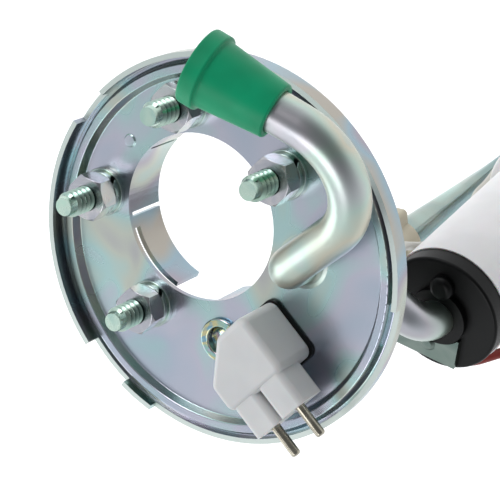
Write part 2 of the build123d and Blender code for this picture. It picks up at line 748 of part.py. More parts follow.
def make_strainer_cloth():
    inside = BARREL_BORE_R - STRAINER_RIB_D
    return ring(inside, inside - STRAINER_CLOTH, STRAINER_END + STRAINER_FLOOR, BARREL_END - STRAINER_RIM)


def make_lower_clamp():
    band = ring(BARREL_R + CLAMP_T, BARREL_R, CLAMP_Z - CLAMP_HALF_W, CLAMP_Z + CLAMP_HALF_W)
    middle = clamp_middle()
    strap_y = -STAY_FLAT_T / 2 - CLAMP_T / 2
    reach = middle.X - BARREL_R + STRAP_LAP
    strap = Box(reach + STRAP_PAST_TUBE, CLAMP_T, 2 * CLAMP_HALF_W)
    strap = Pos((reach - STRAP_PAST_TUBE) / 2, strap_y, middle.Z) * strap
    strap -= rivet_hole(0, STAY_FLAT_T)
    strap = STAY * strap - PUMP * rod(BARREL_R, CLAMP_Z - 4 * CLAMP_HALF_W, CLAMP_Z + 4 * CLAMP_HALF_W)
    return PUMP * band + strap


def make_clamp_rivet():
    far = STAY_FLAT_T / 2
    near = -STAY_FLAT_T / 2 - CLAMP_T
    rivet = rod(RIVET_R, near, far)
    rivet += rod(RIVET_HEAD_R, near - RIVET_HEAD, near) + rod(RIVET_HEAD_R, far, far + RIVET_HEAD)
    return STAY * Pos(0, 0, clamp_middle().Z) * Rot(-90, 0, 0) * rivet


def pump_point(x, y, z):
    return PUMP.from_local_coords(Vector(x, y, z))


def make_tab(angle):
    tab = Pos(TAB_R, 0, (TAB_END + INLET_COVER[0]) / 2) * Box(TAB_T, TAB_W, INLET_COVER[0] - TAB_END)
    return Rot(0, 0, angle) * tab


def around_pump(radius, angle, z):
    return pump_point(radius * cos(radians(angle)), radius * sin(radians(angle)), z)


def along_barrel(angle, from_z):
    # beside the barrel to its port, then in to the tab
    beside = BARREL_R + LEAD_R + HOLE_PLAY
    port = around_pump(beside, angle, LEAD_PORT_Z)
    return [around_pump(beside, angle, from_z), port, around_pump(TAB_R + TAB_T / 2, angle, LEAD_PORT_Z)]


def make_red_lead():
    # past the end cap, half round the neck behind it, then along the barrel
    start = Vector(PIN_XS[0], PIN_TAIL_Y, PIN_TAIL_Z)
    wrap_r = NECK_R + LEAD_R + WRAP_PLAY
    points = [start, start - Vector(0, 0, LEAD_DROP), *RED_VIA]
    points += [around_pump(wrap_r, angle, z) for angle, z in RED_WRAP]
    points += along_barrel(RED_ANGLE, RED_LEAVES_NECK_Z)
    bends = [LEAD_BEND] * 4 + [LEAD_WRAP_BEND] * 3 + [LEAD_BEND, LEAD_TIGHT_BEND]
    return tube_along(points, bends, Circle(LEAD_R))


def make_pale_lead():
    # under the outlet pipe to the barrel's far side
    start = Vector(PIN_XS[1], PIN_TAIL_Y, PIN_TAIL_Z)
    over_cap = around_pump(NECK_R + LEAD_R + HOLE_PLAY, 90, PALE_OVER_CAP)
    points = [start, start - Vector(0, 0, LEAD_DROP), over_cap]
    points += along_barrel(PALE_ANGLE, PALE_MEETS_BARREL_Z)
    return tube_along(points, [LEAD_BEND] * 3 + [LEAD_TIGHT_BEND], Circle(LEAD_R))


def build():
    pins = make_connector_pins()
    shaft_bearing = COVER_END - BEARING
    nodes = {
        "flange_plate": make_flange(),
        "studs": make_studs(),
        "flat_washers": make_flat_washers(),
        "spring_washers": make_spring_washers(),
        "nuts": make_nuts(),
        "outlet_pipe": make_outlet_pipe(),
        "transit_cap": make_transit_cap(),
        "connector_body": make_connector_body(pins),
        "connector_gasket": make_connector_gasket(),
        "connector_pins": pins,
        "stay_tube": make_stay_tube(),
        "wire_clip": make_wire_clip(),
        "support_bracket": make_support_bracket(),
        "lower_clamp": make_lower_clamp(),
        "clamp_rivet": make_clamp_rivet(),
        "red_lead": make_red_lead(),
        "pale_lead": make_pale_lead(),
    }
    in_pump = {
        "rubber_end_cap": make_rubber_cap(),
        "pump_carrier": make_carrier(),
        "pump_casing": make_casing(),
        "outlet_cover": make_outlet_cover(),
        "valve_guide": make_valve_guide(),
        "check_valve": make_check_valve(),
        "check_spring": make_check_spring(),
        "upper_bearing": make_bearing(shaft_bearing),
        "lower_bearing": make_bearing(STAGE_PLATE[1] - BEARING),
        "motor_shaft": make_shaft(),
        "commutator": make_commutator(),
        "armature_core": make_core(),
        "armature_windings": make_windings(),
        "magnets": make_magnets(),
        "brush_card": make_brush_card(),
        "brush_a": make_brush(0),
        "brush_b": make_brush(180),
        "brush_spring_a": make_brush_spring(0),
        "brush_spring_b": make_brush_spring(180),
        "stage_plate": make_stage_plate(),
        "impeller": make_impeller(),
        "inlet_cover": make_inlet_cover(),
        "relief_ball": make_relief_ball(),
        "relief_spring": make_relief_spring(),
        "relief_plug": make_relief_plug(),
        "ground_tab": make_tab(RED_ANGLE),
        "supply_tab": make_tab(PALE_ANGLE),
        "lower_isolator": make_isolator(),
        "strainer_frame": make_strainer_frame(),
        "strainer_cloth": make_strainer_cloth(),
    }
    for name, piece in in_pump.items():
        nodes[name] = PUMP * piece
    return nodes


os.makedirs("parts", exist_ok=True)
for node, solid in build().items():
    export_step(solid, os.path.join("parts", node + ".step"))
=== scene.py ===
import json
import math
import bmesh
import bpy
from mathutils import Matrix, Vector


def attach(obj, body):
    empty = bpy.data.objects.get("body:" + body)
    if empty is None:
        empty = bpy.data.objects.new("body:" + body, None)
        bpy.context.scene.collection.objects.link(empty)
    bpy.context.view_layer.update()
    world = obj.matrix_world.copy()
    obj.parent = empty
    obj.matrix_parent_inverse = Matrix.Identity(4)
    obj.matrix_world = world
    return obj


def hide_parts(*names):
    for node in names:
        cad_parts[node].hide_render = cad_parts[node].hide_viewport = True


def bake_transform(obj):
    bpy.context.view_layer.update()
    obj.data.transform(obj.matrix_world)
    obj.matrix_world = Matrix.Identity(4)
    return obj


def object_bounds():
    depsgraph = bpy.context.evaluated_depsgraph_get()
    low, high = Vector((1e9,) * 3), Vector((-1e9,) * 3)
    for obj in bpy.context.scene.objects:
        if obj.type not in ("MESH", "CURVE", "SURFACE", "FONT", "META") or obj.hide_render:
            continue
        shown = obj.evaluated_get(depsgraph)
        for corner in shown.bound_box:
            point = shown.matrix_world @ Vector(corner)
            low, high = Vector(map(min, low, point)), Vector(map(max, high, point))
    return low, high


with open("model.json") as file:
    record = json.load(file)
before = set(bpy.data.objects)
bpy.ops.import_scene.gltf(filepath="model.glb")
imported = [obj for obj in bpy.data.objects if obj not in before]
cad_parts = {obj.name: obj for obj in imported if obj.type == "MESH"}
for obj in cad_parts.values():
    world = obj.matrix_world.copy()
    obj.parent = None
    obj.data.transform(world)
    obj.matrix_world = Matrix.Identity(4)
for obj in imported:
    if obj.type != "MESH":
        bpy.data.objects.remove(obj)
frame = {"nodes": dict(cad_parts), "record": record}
cad_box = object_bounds()
MM = 0.001


# Flange plate
# A round steel pressing with a bead and a bayonet lip, pierced for the level sender.
# It is zinc plated and passivated, and its sheared upper edges show a paler, duller cut.
PLATE_FILM = (
    "#a3bec2", "#adb4c2", "#b6b6c3", "#a4c0bf", "#b4b8ae", "#9f99a4", "#94a9b4", "#aaa49b")
CUT_EDGE_COLOUR = "#bcc4c0"
CUT_EDGE_ROUGHER = 0.2
FACES_UP = 0.8
LIP_INSIDE_MM = 59.0
FLANGE_CENTRE_MM = (-0.3, -12.2, 0.0)
# the film's colours are spread over this stretch of the noise that picks them
FILM_FROM = 0.28
FILM_SPAN = 0.62
# nearly all of a noise lies between these two
NOISE_LOW = 0.3
NOISE_HIGH = 0.7
FILM_SMOOTHER = 0.04
FILM_ROUGHER = 0.05
WAVE_HEIGHT_MM = 0.5
SHARP_DEGREES = 32
MERGE_MM = 0.002
FLAT_WITHIN_DEGREES = 0.1
# the two colour inputs and the colour output of a Mix node, which share their names with others
MIX_FIRST = 6
MIX_SECOND = 7
MIX_COLOUR = 2


def linear(hex_colour):
    channels = [int(hex_colour[i:i + 2], 16) / 255 for i in (1, 3, 5)]
    return [c / 12.92 if c <= 0.04045 else ((c + 0.055) / 1.055) ** 2.4 for c in channels] + [1.0]


def add_node(tree, kind, inputs=(), stops=(), **settings):
    node = tree.nodes.new(kind)
    for name, value in settings.items():
        setattr(node, name, value)
    for socket, value in dict(inputs).items():
        if isinstance(value, bpy.types.NodeSocket):
            tree.links.new(value, node.inputs[socket])
        else:
            node.inputs[socket].default_value = value
    for index, (position, colour) in enumerate(stops):
        ramp = node.color_ramp.elements
        stop = ramp[index] if index < len(ramp) else ramp.new(position)
        stop.position = position
        stop.color = linear(colour)
    return node


def new_material(name):
    material = bpy.data.materials.new(name)
    material.use_nodes = True
    tree = material.node_tree
    return material, tree, tree.nodes["Principled BSDF"]


def filmed_metal(name, colours, patch_mm, wave_mm, roughness, slope_shift=0.25):
    # a soft mirror whose thin film drifts in hue from patch to patch and turns on slopes
    material, tree, shader = new_material(name)
    place = add_node(tree, "ShaderNodeTexCoord").outputs["Object"]
    patches = add_node(tree, "ShaderNodeTexNoise", {
        "Vector": place, "Scale": 1 / (patch_mm * MM), "Detail": 2.0, "Roughness": 0.5, "Distortion": 0.4})
    wave = add_node(tree, "ShaderNodeTexNoise", {
        "Vector": place, "Scale": 1 / (wave_mm * MM), "Detail": 1.0})
    normal = add_node(tree, "ShaderNodeNewGeometry").outputs["Normal"]
    upright = add_node(tree, "ShaderNodeSeparateXYZ", {"Vector": normal}).outputs["Z"]
    slope = add_node(tree, "ShaderNodeMapRange", {
        "Value": upright, "From Min": 1.0, "From Max": 0.0, "To Min": 0.0, "To Max": slope_shift})
    film = add_node(tree, "ShaderNodeMath", {
        0: patches.outputs["Fac"], 1: slope.outputs["Result"]}, operation="ADD")
    last = len(colours) - 1
    stops = [(FILM_FROM + FILM_SPAN * index / last, colour) for index, colour in enumerate(colours)]
    tint = add_node(tree, "ShaderNodeValToRGB", {"Fac": film.outputs["Value"]}, stops)
    tree.links.new(tint.outputs["Color"], shader.inputs["Base Color"])
    rough = add_node(tree, "ShaderNodeMapRange", {
        "Value": patches.outputs["Fac"], "From Min": NOISE_LOW, "From Max": NOISE_HIGH,
        "To Min": roughness - FILM_SMOOTHER, "To Max": roughness + FILM_ROUGHER})
    tree.links.new(rough.outputs["Result"], shader.inputs["Roughness"])
    bump = add_node(tree, "ShaderNodeBump", {
        "Height": wave.outputs["Fac"], "Strength": 0.35, "Distance": WAVE_HEIGHT_MM * MM})
    tree.links.new(bump.outputs["Normal"], shader.inputs["Normal"])
    shader.inputs["Metallic"].default_value = 1.0
    return material


def body_of_node(node):
    return next(b for b, members in frame["record"]["behaviour"]["bodies"].items() if node in members)


def finish_mesh(piece, sharp_degrees=SHARP_DEGREES):
    piece.data.shade_smooth()
    piece.data.set_sharp_from_angle(angle=math.radians(sharp_degrees))


def stand_for(piece, material, node, pressed_by=None):
    # rides on the node's body, or, when a joint presses it, is left unattached with its place baked into its
    # mesh
    piece.data.materials.clear()
    piece.data.materials.append(material)
    if pressed_by:
        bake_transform(piece)
    else:
        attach(piece, body_of_node(node))
    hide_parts(node)
    return piece


def skin_of(node, name, material, edge_mm=0.0, pressed_by=None):
    # the node's own faces, merged, with its sharp edges broken as deburring or a mould leaves them
    mesh = frame["nodes"][node].data.copy()
    shape = bmesh.new()
    shape.from_mesh(mesh)
    bmesh.ops.remove_doubles(shape, verts=shape.verts, dist=MERGE_MM * MM)
    bmesh.ops.dissolve_limit(
        shape, angle_limit=math.radians(FLAT_WITHIN_DEGREES), verts=shape.verts, edges=shape.edges,
        use_dissolve_boundaries=False)
    shape.to_mesh(mesh)
    shape.free()
    mesh.name = name
    piece = bpy.data.objects.new(name, mesh)
    bpy.context.scene.collection.objects.link(piece)
    finish_mesh(piece)
    if edge_mm:
        bevel = piece.modifiers.new("broken edges", "BEVEL")
        bevel.width = edge_mm * MM
        bevel.segments = 2
        bevel.limit_method = "ANGLE"
        bevel.angle_limit = math.radians(SHARP_DEGREES)
        bevel.use_clamp_overlap = True
    flat = piece.modifiers.new("flat faces stay flat", "WEIGHTED_NORMAL")
    flat.keep_sharp = True
    return stand_for(piece, material, node, pressed_by)


# Passivated zinc on pressed steel: a blurred mirror in teal and lilac, duller on the lip's sheared edge.
plate_zinc = filmed_metal(
    "passivated_zinc_plate", PLATE_FILM, patch_mm=36.0, wave_mm=30.0, roughness=0.26)
plate_tree = plate_zinc.node_tree
plate_shader = plate_tree.nodes["Principled BSDF"]
plate_place = add_node(plate_tree, "ShaderNodeTexCoord").outputs["Object"]
from_centre = add_node(plate_tree, "ShaderNodeVectorMath", {
    0: plate_place, 1: [c * MM for c in FLANGE_CENTRE_MM]}, operation="SUBTRACT").outputs["Vector"]
in_plan = add_node(plate_tree, "ShaderNodeVectorMath", {
    0: from_centre, 1: (1.0, 1.0, 0.0)}, operation="MULTIPLY").outputs["Vector"]
radius = add_node(plate_tree, "ShaderNodeVectorMath", {0: in_plan}, operation="LENGTH").outputs["Value"]
on_lip = add_node(plate_tree, "ShaderNodeMath", {
    0: radius, 1: LIP_INSIDE_MM * MM}, operation="GREATER_THAN").outputs["Value"]
plate_normal = add_node(plate_tree, "ShaderNodeNewGeometry").outputs["True Normal"]
plate_up = add_node(plate_tree, "ShaderNodeSeparateXYZ", {"Vector": plate_normal}).outputs["Z"]
faces_up = add_node(plate_tree, "ShaderNodeMath", {
    0: plate_up, 1: FACES_UP}, operation="GREATER_THAN").outputs["Value"]
cut_edge = add_node(plate_tree, "ShaderNodeMath", {
    0: on_lip, 1: faces_up}, operation="MULTIPLY").outputs["Value"]
film_colour = plate_shader.inputs["Base Color"].links[0].from_socket
edge_colour = add_node(plate_tree, "ShaderNodeMix", {
    "Factor": cut_edge, MIX_FIRST: film_colour, MIX_SECOND: linear(CUT_EDGE_COLOUR)}, data_type="RGBA")
plate_tree.links.new(edge_colour.outputs[MIX_COLOUR], plate_shader.inputs["Base Color"])
film_rough = plate_shader.inputs["Roughness"].links[0].from_socket
edge_rough = add_node(plate_tree, "ShaderNodeMath", {
    0: cut_edge, 1: CUT_EDGE_ROUGHER, 2: film_rough}, operation="MULTIPLY_ADD")
plate_tree.links.new(edge_rough.outputs["Value"], plate_shader.inputs["Roughness"])
skin_of("flange_plate", "flange", plate_zinc)


# Outlet pipe, stay tube and steel strips
# Drawn steel tube bent and brazed into the plate, with pressed strips below it.
# All are zinc plated, and the stay tube's upper end is rolled over in the plate round a shallow dish.
TUBE_FILM = ("#b4c2c2", "#b2bcc2", "#bfbcc2", "#b3c4bb", "#c4c0b0", "#a9babb", "#b8b0bb")
# the later colours are dark, so the film's turn on slopes paints shade down the drawn tube's sides
DRAWN_FILM_SHADED_SIDES = ("#c6d9d5", "#c0ced3", "#cac9d1", "#a9c3bc", "#a1ada6", "#849e9f", "#9399a9")
# painted shade: these dark colours stand for the shade on a strip that faces the studio's dark side
STRIP_FILM_PAINTED_SHADE = ("#6f7d77", "#64736e", "#7b8680", "#6a7a73", "#7e8173")
ROLLED_FILM = ("#9fb9bd", "#7ea6b8", "#c4bd93", "#93b9b4", "#b7a5b9", "#cdbf86", "#86aebf")
ROLLED_ABOVE_MM = -3.0
PIPE_FOOT_MM = (20.0, -31.0)
STAY_FOOT_MM = (-21.0, -32.0)
BRAZE_OUTLINE_MM = ((5.9, 1.7), (6.2, 1.2), (6.6, 0.7), (7.2, 0.3), (8.0, 0.1), (8.2, 0.0), (5.9, 0.0))
DISH_OUTLINE_MM = ((0.0, -3.4), (2.6, -3.2), (3.8, -2.4), (4.45, -1.0), (4.45, -4.4), (0.0, -4.6))
TURNED_SHARP_DEGREES = 40


def turned(name, outline_mm, steps=64):
    # an outline of radius and height, turned a full circle about Z
    shape = bmesh.new()
    points = [shape.verts.new((radius * MM, 0, height * MM)) for radius, height in outline_mm]
    edges = [shape.edges.new(pair) for pair in zip(points, points[1:])]
    if outline_mm[0][0] or outline_mm[-1][0]:
        edges.append(shape.edges.new((points[-1], points[0])))
    bmesh.ops.spin(
        shape, geom=points + edges, axis=(0, 0, 1), cent=(0, 0, 0), angle=math.tau, steps=steps,
        use_merge=True)
    bmesh.ops.remove_doubles(shape, verts=shape.verts, dist=MERGE_MM * MM)
    bmesh.ops.recalc_face_normals(shape, faces=shape.faces)
    mesh = bpy.data.meshes.new(name)
    shape.to_mesh(mesh)
    shape.free()
    return mesh


def trim_on(mesh, name, material, place_mm, body):
    mesh.transform(Matrix.Translation(Vector((*place_mm, 0.0)) * MM))
    piece = bpy.data.objects.new(name, mesh)
    bpy.context.scene.collection.objects.link(piece)
    finish_mesh(piece, TURNED_SHARP_DEGREES)
    mesh.materials.append(material)
    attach(piece, body)
    return piece


# Bright zinc on bent tube: pale and satin, so its highlights run soft along the bends.
bright_zinc = filmed_metal(
    "bright_zinc_tube", TUBE_FILM, patch_mm=34.0, wave_mm=60.0, roughness=0.34, slope_shift=0.18)
# Zinc on straight drawn tube: smoother and pale on top, with painted shade making it a darker teal down its
# sides.
drawn_zinc_painted_shade = filmed_metal(
    "drawn_zinc_tube_painted_shade", DRAWN_FILM_SHADED_SIDES, patch_mm=34.0, wave_mm=60.0, roughness=0.2, slope_shift=0.3)
# Zinc on rolled strip: a darker grey green, which is painted shade for a strip that faces the dark side.
strip_zinc_painted_shade = filmed_metal(
    "zinc_strip_painted_shade", STRIP_FILM_PAINTED_SHADE, patch_mm=12.0, wave_mm=30.0, roughness=0.32, slope_shift=0.15)
# Zinc on the rolled-over end: the film is worked hard there and shows blue and straw in small patches.
rolled_zinc = filmed_metal(
    "rolled_zinc_end", ROLLED_FILM, patch_mm=5.0, wave_mm=30.0, roughness=0.2, slope_shift=0.4)
skin_of("outlet_pipe", "outlet_pipe_skin", bright_zinc)
stay = skin_of("stay_tube", "stay_tube_skin", drawn_zinc_painted_shade)
stay.data.materials.append(rolled_zinc)
for face in stay.data.polygons:
    face.material_index = 1 if face.center.z > ROLLED_ABOVE_MM * MM else 0
skin_of("support_bracket", "bracket_strip", strip_zinc_painted_shade, edge_mm=0.3)
skin_of("lower_clamp", "clamp_strap", bright_zinc, edge_mm=0.3)
skin_of("clamp_rivet", "strap_rivet", bright_zinc, edge_mm=0.4)
trim_on(turned("braze", BRAZE_OUTLINE_MM), "pipe_braze", bright_zinc, PIPE_FOOT_MM, "module")
trim_on(turned("dish", DISH_OUTLINE_MM), "stay_tube_dish", rolled_zinc, STAY_FOOT_MM, "module")


# Studs, washers and nuts
# Four M8 steel studs pressed through the plate from below, each with its washers and a hexagon nut.
# The thread is rolled. Its pitch is drawn coarser than the real 1.25 mm so that its turns show.
NUT_FILM = ("#bdbcc1", "#b5b5bd", "#c4c1c4", "#b6bfbe", "#c2bfba", "#b0b3bb")
WASHER_FILM = ("#a3b5b0", "#98aaa8", "#aeb6b4", "#9cb3ab", "#b0b3a4", "#98a9ab")
STUD_FILM = ("#bad0c3", "#acc8be", "#c0d3c6", "#b3d0c1", "#c6d3bc", "#a8c7bb")
# painted shade: the dark colour that the thread's grooves are shaded towards
GROOVE_SHADE_COLOUR = "#34594f"
GROOVE_REACH_MM = 1.6
GROOVE_SHUT = 0.58
CREST_OPEN = 0.93
THREAD_PITCH_MM = 2.1
THREAD_DEPTH_MM = 0.85
THREAD_STEPS = 28
RIDGE_SIDES = 4
THREAD_LESS_TURNS = 1.6
STUD_R_MM = 4.0
STUD_TIP_MM = 21.0
STUD_CHAMFER_MM = 0.9
STUD_CHAMFER_IN_MM = 0.35
SHANK_STEP_MM = 0.2
STUD_HEAD_R_MM = 6.5
STUD_HEAD_MM = 2.0
HEAD_CHAMFER_MM = 0.4
SHEET_MM = 1.6


def centres_of_solids(node):
    # the middle in plan of each separate solid of a node
    shape = bmesh.new()
    shape.from_mesh(frame["nodes"][node].data)
    bmesh.ops.remove_doubles(shape, verts=shape.verts, dist=MERGE_MM * MM)
    unseen = set(shape.verts)
    centres = []
    while unseen:
        front = [unseen.pop()]
        solid = list(front)
        while front:
            for edge in front.pop().link_edges:
                fresh = [v for v in edge.verts if v in unseen]
                unseen.difference_update(fresh)
                front += fresh
                solid += fresh
        xs = [v.co.x for v in solid]
        ys = [v.co.y for v in solid]
        centres.append(((min(xs) + max(xs)) / 2, (min(ys) + max(ys)) / 2, 0.0))
    shape.free()
    return sorted(centres)


def threaded_stud_tree():
    # a helical ridge round a plain blank, set on each place
    tree = bpy.data.node_groups.new("threaded studs", "GeometryNodeTree")
    face = tree.interface
    face.new_socket("Places", in_out="INPUT", socket_type="NodeSocketGeometry")
    face.new_socket("Blank", in_out="INPUT", socket_type="NodeSocketObject")
    for size in ("Pitch", "Depth", "Crest Radius", "Thread From", "Thread Length"):
        face.new_socket(size, in_out="INPUT", socket_type="NodeSocketFloat")
    face.new_socket("Plating", in_out="INPUT", socket_type="NodeSocketMaterial")
    face.new_socket("Studs", in_out="OUTPUT", socket_type="NodeSocketGeometry")
    given = add_node(tree, "NodeGroupInput").outputs
    turns = add_node(tree, "ShaderNodeMath", {
        0: given["Thread Length"], 1: given["Pitch"]}, operation="DIVIDE")
    middle = add_node(tree, "ShaderNodeMath", {
        0: given["Crest Radius"], 1: given["Depth"]}, operation="SUBTRACT")
    helix = add_node(tree, "GeometryNodeCurveSpiral", {
        "Resolution": THREAD_STEPS, "Rotations": turns.outputs[0], "Start Radius": middle.outputs[0],
        "End Radius": middle.outputs[0], "Height": given["Thread Length"]})
    upright = add_node(tree, "GeometryNodeSetCurveNormal", {"Curve": helix.outputs["Curve"]}, mode="Z_UP")
    ridge = add_node(tree, "GeometryNodeCurvePrimitiveCircle", {
        "Resolution": RIDGE_SIDES, "Radius": given["Depth"]})
    thread = add_node(tree, "GeometryNodeCurveToMesh", {
        "Curve": upright.outputs["Curve"], "Profile Curve": ridge.outputs["Curve"], "Fill Caps": True})
    lift = add_node(tree, "ShaderNodeCombineXYZ", {"Z": given["Thread From"]})
    placed = add_node(tree, "GeometryNodeTransform", {
        "Geometry": thread.outputs["Mesh"], "Translation": lift.outputs["Vector"]})
    blank = add_node(tree, "GeometryNodeObjectInfo", {"Object": given["Blank"]})
    stud = add_node(tree, "GeometryNodeJoinGeometry", {"Geometry": placed.outputs["Geometry"]})
    tree.links.new(blank.outputs["Geometry"], stud.inputs["Geometry"])
    row = add_node(tree, "GeometryNodeInstanceOnPoints", {
        "Points": given["Places"], "Instance": stud.outputs["Geometry"]})
    real = add_node(tree, "GeometryNodeRealizeInstances", {"Geometry": row.outputs["Instances"]})
    coated = add_node(tree, "GeometryNodeSetMaterial", {
        "Geometry": real.outputs["Geometry"], "Material": given["Plating"]})
    add_node(tree, "NodeGroupOutput", {"Studs": coated.outputs["Geometry"]})
    return tree


def made_by(tree, name, start_mesh, inputs):
    # runs a node tree on a start mesh and keeps the result as a plain mesh
    start = bpy.data.objects.new(name + "_start", start_mesh)
    bpy.context.scene.collection.objects.link(start)
    modifier = start.modifiers.new(name, "NODES")
    modifier.node_group = tree
    for item in tree.interface.items_tree:
        if item.in_out == "INPUT" and item.name in inputs:
            modifier[item.identifier] = inputs[item.name]
    bpy.context.view_layer.update()
    ready = start.evaluated_get(bpy.context.evaluated_depsgraph_get())
    mesh = bpy.data.meshes.new_from_object(ready)
    mesh.name = name
    start.modifiers.remove(modifier)
    bpy.data.objects.remove(start)
    piece = bpy.data.objects.new(name, mesh)
    bpy.context.scene.collection.objects.link(piece)
    return piece


# Zinc on forged nuts: a lilac grey mirror, clear enough to tell one flat from the next.
nut_zinc = filmed_metal(
    "zinc_plated_nut", NUT_FILM, patch_mm=9.0, wave_mm=14.0, roughness=0.24, slope_shift=0.15)
# Zinc on stamped washers: a little darker and greener than the nuts.
washer_zinc = filmed_metal(
    "zinc_plated_washer", WASHER_FILM, patch_mm=9.0, wave_mm=14.0, roughness=0.24, slope_shift=0.15)
# Zinc on rolled thread: pale green crests, with painted shade darkening the grooves where they are closed
# in.
stud_zinc = filmed_metal(
    "zinc_plated_stud", STUD_FILM, patch_mm=9.0, wave_mm=14.0, roughness=0.26, slope_shift=0.15)
stud_tree = stud_zinc.node_tree
stud_shader = stud_tree.nodes["Principled BSDF"]
crest_film = stud_shader.inputs["Base Color"].links[0].from_socket
# painted shade: ambient occlusion over a short reach darkens the grooves between the thread's turns
painted_groove_shade = add_node(stud_tree, "ShaderNodeAmbientOcclusion", {"Distance": GROOVE_REACH_MM * MM}, samples=8)
crest = add_node(stud_tree, "ShaderNodeMapRange", {
    "Value": painted_groove_shade.outputs["AO"], "From Min": GROOVE_SHUT, "From Max": CREST_OPEN,
    "To Min": 0.0, "To Max": 1.0})
film_with_groove_shade = add_node(stud_tree, "ShaderNodeMix", {
    "Factor": crest.outputs["Result"], MIX_FIRST: linear(GROOVE_SHADE_COLOUR), MIX_SECOND: crest_film},
    data_type="RGBA")
stud_tree.links.new(film_with_groove_shade.outputs[MIX_COLOUR], stud_shader.inputs["Base Color"])

root_r = STUD_R_MM - THREAD_DEPTH_MM
thread_top = STUD_TIP_MM - STUD_CHAMFER_MM
head_low = -SHEET_MM - STUD_HEAD_MM
blank_outline = (
    (0.0, STUD_TIP_MM), (root_r - STUD_CHAMFER_IN_MM, STUD_TIP_MM), (root_r, thread_top),
    (root_r, SHANK_STEP_MM), (STUD_R_MM, 0.0), (STUD_R_MM, -SHEET_MM), (STUD_HEAD_R_MM, -SHEET_MM),
    (STUD_HEAD_R_MM, head_low + HEAD_CHAMFER_MM), (STUD_HEAD_R_MM - HEAD_CHAMFER_MM, head_low),
    (0.0, head_low),
)
stud_blank = bpy.data.objects.new("stud_blank", turned("stud_blank", blank_outline, steps=32))
bpy.context.scene.collection.objects.link(stud_blank)
stud_places = bpy.data.meshes.new("stud_places")
stud_places.from_pydata(centres_of_solids("studs"), [], [])
studs = made_by(threaded_stud_tree(), "threaded_studs", stud_places, {
    "Blank": stud_blank, "Pitch": THREAD_PITCH_MM * MM, "Depth": THREAD_DEPTH_MM * MM,
    "Crest Radius": STUD_R_MM * MM, "Thread From": THREAD_PITCH_MM * MM,
    "Thread Length": (thread_top - THREAD_LESS_TURNS * THREAD_PITCH_MM) * MM, "Plating": stud_zinc})
bpy.data.objects.remove(stud_blank)
finish_mesh(studs, TURNED_SHARP_DEGREES)
stand_for(studs, stud_zinc, "studs")
skin_of("flat_washers", "flat_washers_skin", washer_zinc, edge_mm=0.15)
skin_of("spring_washers", "spring_washers_skin", washer_zinc, edge_mm=0.15)
skin_of("nuts", "nuts_skin", nut_zinc, edge_mm=0.2)


# Transit cap
# A soft polyethylene cap, injection moulded, with a collar to pull it off by.
# It is pushed over the pipe's open end and comes off when the module is fitted.
FLOW_MM = 14.0
SHADE_TO = 0.35
COLOUR_FROM = 0.65
GRAIN_ROUGHER = 0.05
GRAIN_HEIGHT_MM = 0.1
GLOW_DEPTH_MM = 2.0


def moulded_plastic(name, colour, shade, roughness, grain_mm, glow=0.0, gloss=0.5):
    # even colour with a faint flow pattern and a fine grain, and light let in a little where it glows
    material, tree, shader = new_material(name)
    place = add_node(tree, "ShaderNodeTexCoord").outputs["Object"]
    flow = add_node(tree, "ShaderNodeTexNoise", {
        "Vector": place, "Scale": 1 / (FLOW_MM * MM), "Detail": 2.0})
    grain = add_node(tree, "ShaderNodeTexNoise", {
        "Vector": place, "Scale": 1 / (grain_mm * MM), "Detail": 3.0})
    tint = add_node(tree, "ShaderNodeValToRGB", {"Fac": flow.outputs["Fac"]}, [
        (SHADE_TO, shade), (COLOUR_FROM, colour)])
    tree.links.new(tint.outputs["Color"], shader.inputs["Base Color"])
    rough = add_node(tree, "ShaderNodeMapRange", {
        "Value": grain.outputs["Fac"], "From Min": NOISE_LOW, "From Max": NOISE_HIGH,
        "To Min": roughness - GRAIN_ROUGHER, "To Max": roughness + GRAIN_ROUGHER})
    tree.links.new(rough.outputs["Result"], shader.inputs["Roughness"])
    bump = add_node(tree, "ShaderNodeBump", {
        "Height": grain.outputs["Fac"], "Strength": 0.06, "Distance": GRAIN_HEIGHT_MM * MM})
    tree.links.new(bump.outputs["Normal"], shader.inputs["Normal"])
    shader.inputs["IOR"].default_value = 1.5
    shader.inputs["Specular IOR Level"].default_value = gloss
    shader.inputs["Subsurface Weight"].default_value = glow
    shader.inputs["Subsurface Scale"].default_value = GLOW_DEPTH_MM * MM
    return material


# Moulded polyethylene: strong even green with a weak waxy sheen.
cap_polyethylene = moulded_plastic(
    "green_polyethylene", "#009366", "#008359", roughness=0.42, grain_mm=0.6, gloss=0.25)
skin_of("transit_cap", "green_cap", cap_polyethylene, edge_mm=0.5)


# Connector
# A moulded nylon block with two fingers that carry the round contact pins.
# It is fixed through the plate on a rubber gasket, and the leads are joined to its pins below.
PIN_FILM = ("#b3ad9f", "#a8a294", "#b9b3a4", "#aea89a")
# Natural nylon: milky off-white that lets a little light in.
connector_nylon = moulded_plastic(
    "natural_nylon", "#cbcbcb", "#c3c3c4", roughness=0.46, grain_mm=0.5, glow=0.15)
# Nitrile rubber: near black, with only a weak sheen.
gasket_rubber = moulded_plastic(
    "black_nitrile_rubber", "#050505", "#030303", roughness=0.4, grain_mm=0.4, gloss=0.2)
# Tinned brass: a warm grey that is clear enough to mirror along the pin.
pin_tin = filmed_metal(
    "tinned_brass_pin", PIN_FILM, patch_mm=6.0, wave_mm=10.0, roughness=0.24, slope_shift=0.1)
skin_of("connector_body", "connector_block", connector_nylon, edge_mm=0.5)
skin_of("connector_gasket", "connector_seal", gasket_rubber, edge_mm=0.2)
skin_of("connector_pins", "contact_pins", pin_tin)


# Pump end cap and carrier
# A black rubber cap with a grommet round the pipe closes a moulded nylon sleeve that holds the pump.
# The sleeve's slim neck steps out to its barrel lower down than on the solid that it stands for.
PUMP_TOP = Vector((20.4, -65.3, -41.0)) * MM
PUMP_UP = Vector((-0.205, -0.12, 0.971)).normalized()
SHOULDER_TOP_MM = -24.5
SHOULDER_LOW_MM = -28.5
NECK_GOES_ON_MM = 50.0
